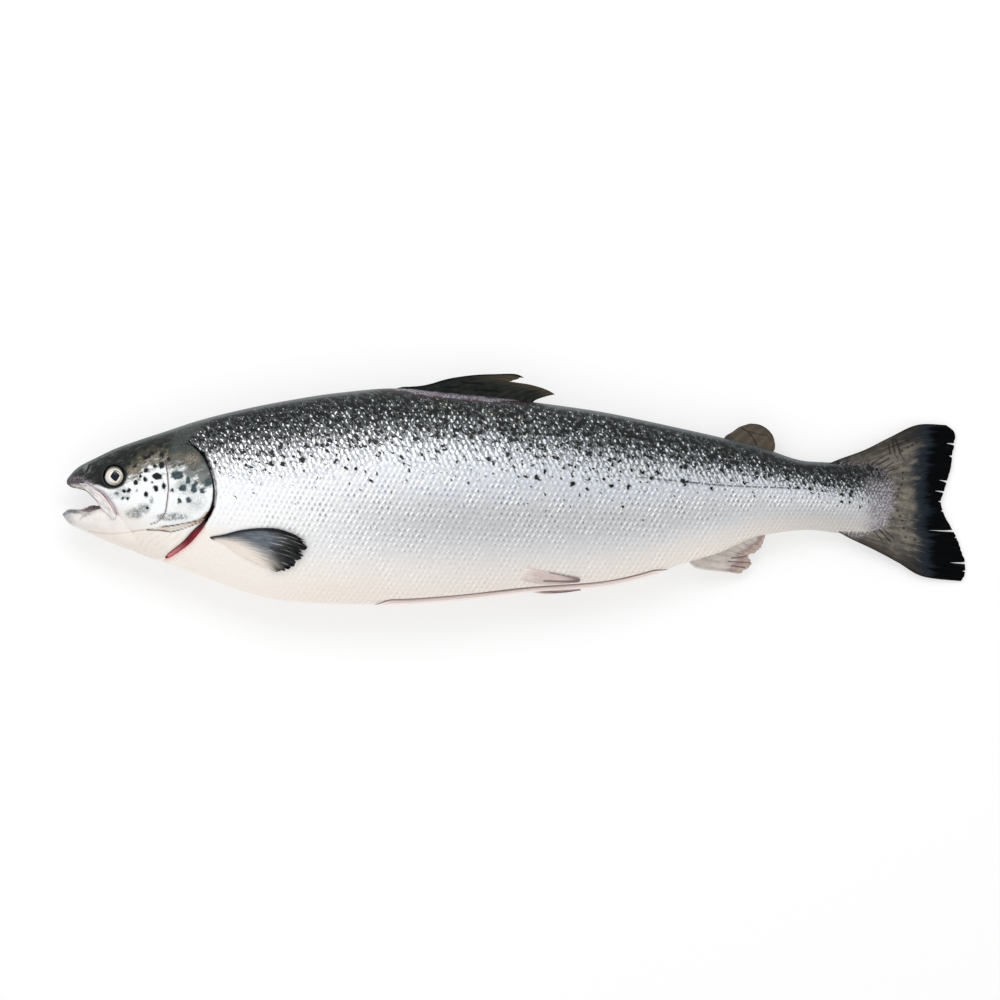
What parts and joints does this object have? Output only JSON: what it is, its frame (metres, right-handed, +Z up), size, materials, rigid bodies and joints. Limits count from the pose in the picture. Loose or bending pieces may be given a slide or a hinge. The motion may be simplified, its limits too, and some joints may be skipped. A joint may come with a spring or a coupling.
{
  "type": "whole raw fish",
  "caption": "Whole raw salmon-shaped fish, gutted along the belly, lying on its right side with mouth ajar, fins, eyes and red gills showing.",
  "frame": {"origin": "on the table, under the middle of the fish's box", "axes": "+X from the jaws to the tail, +Y from the belly to the back, +Z up from the table, out of the left flank"},
  "size_m": [0.7498, 0.1918, 0.0845],
  "materials": {
    "skin": "wet scaled skin: blue-black spotted back, silver flank, cream belly",
    "fin": "wet rayed fin web, slate to black, paler at the root",
    "flesh": "moist pink-cream flesh of the mouth and the belly cut",
    "tooth": "small pale teeth",
    "eye": "wet, pale gold iris and blue-black pupil",
    "gill": "moist dark red gill filaments"
  },
  "bodies": {
    "root": {"fish": "skin", "eye_left": "eye", "eye_right": "eye", "gill_left": "gill", "gill_right": "gill"}
  },
  "joints": []
}
